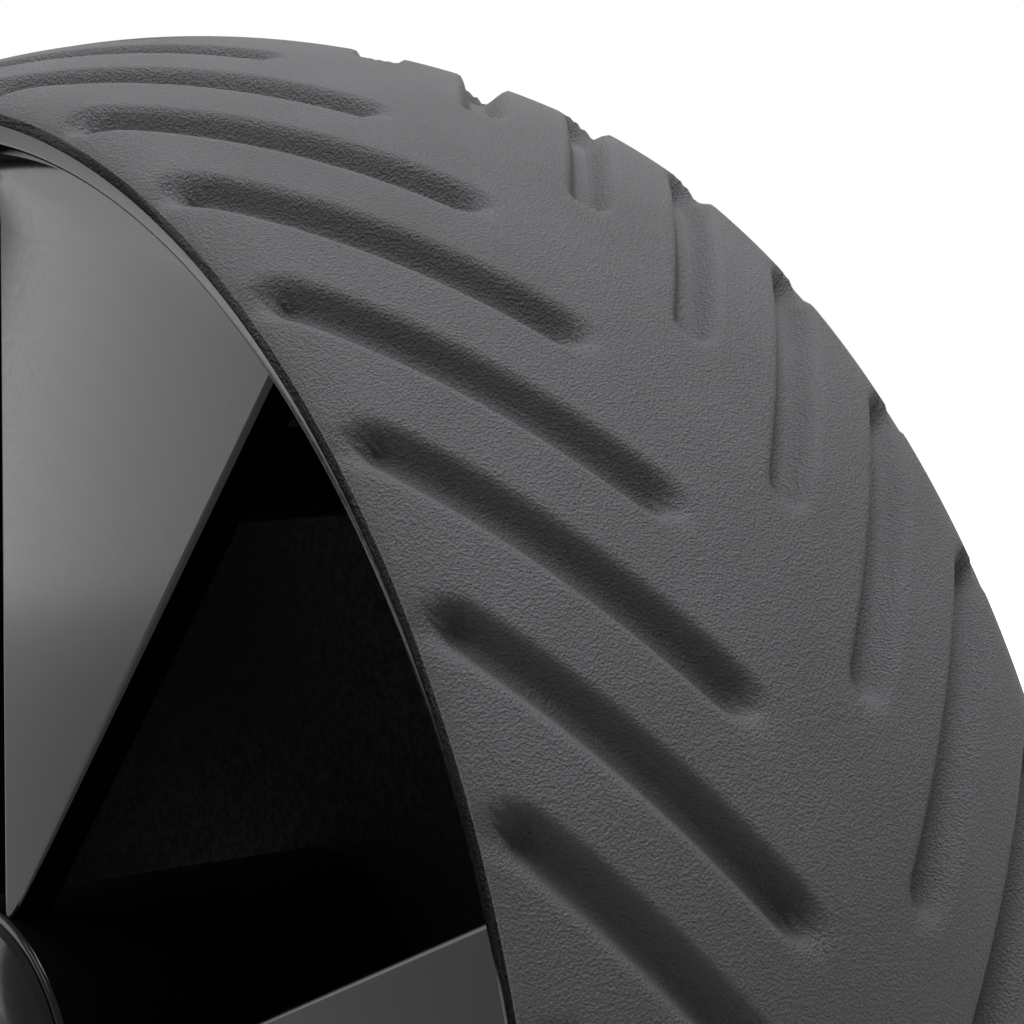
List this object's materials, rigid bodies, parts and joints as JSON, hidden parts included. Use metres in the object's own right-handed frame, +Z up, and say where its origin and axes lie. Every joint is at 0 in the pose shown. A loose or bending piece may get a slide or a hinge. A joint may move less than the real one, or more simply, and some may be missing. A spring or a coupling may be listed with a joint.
{
  "type": "dolly wheel",
  "caption": "Dolly wheel: grooved tyre on a spoked two-piece rim, turning on sealed ball bearings on a stub axle with collar and threaded spigot.",
  "frame": {"origin": "on the axle's centre line, in the collar's face that lies against the dolly's frame", "axes": "+Y along the axle from the wheel's outer face towards the frame, +Z up, +X to the right seen from the outer face"},
  "size_m": [0.25, 0.1069, 0.25],
  "materials": {
    "tyre": "matt charcoal, fine pebble grain",
    "rim": "gloss black moulded ABS",
    "zinc": "bright zinc plated",
    "bearing": "ground and polished",
    "seal": "smooth black rubber",
    "cage": "natural moulded nylon"
  },
  "bodies": {
    "axle": {"axle": "zinc", "bearing_spacer": "zinc", "axle_washer": "zinc", "axle_circlip": "zinc", "mount_washer": "zinc", "mount_nut": "zinc", "front_inner_race": "bearing", "rear_inner_race": "bearing"},
    "wheel": {"tyre": "tyre", "rim_front": "rim", "rim_rear": "rim", "hub_cap": "rim", "rim_screw_1": "zinc", "rim_screw_2": "zinc", "rim_screw_3": "zinc", "rim_screw_4": "zinc", "rim_screw_5": "zinc", "front_outer_race": "bearing", "front_seal_outer": "seal", "front_seal_inner": "seal", "rear_outer_race": "bearing", "rear_seal_outer": "seal", "rear_seal_inner": "seal"},
    "front_cage": {"front_cage": "cage", "front_ball_1": "bearing", "front_ball_2": "bearing", "front_ball_3": "bearing", "front_ball_4": "bearing", "front_ball_5": "bearing", "front_ball_6": "bearing", "front_ball_7": "bearing", "front_ball_8": "bearing"},
    "rear_cage": {"rear_cage": "cage", "rear_ball_1": "bearing", "rear_ball_2": "bearing", "rear_ball_3": "bearing", "rear_ball_4": "bearing", "rear_ball_5": "bearing", "rear_ball_6": "bearing", "rear_ball_7": "bearing", "rear_ball_8": "bearing"}
  },
  "joints": [
    {"name": "wheel_spin", "type": "hinge", "parent": "axle", "child": "wheel", "pos_m": [0, -0.048, 0], "axis": [0, 1, 0], "continuous": true},
    {"name": "front_cage_spin", "type": "hinge", "parent": "axle", "child": "front_cage", "pos_m": [0, -0.0685, 0], "axis": [0, 1, 0], "continuous": true},
    {"name": "rear_cage_spin", "type": "hinge", "parent": "axle", "child": "rear_cage", "pos_m": [0, -0.0195, 0], "axis": [0, 1, 0], "continuous": true}
  ],
  "couplings": [
    {"joint": "front_cage_spin", "follows": "wheel_spin", "ratio": 0.619},
    {"joint": "rear_cage_spin", "follows": "wheel_spin", "ratio": 0.619}
  ]
}
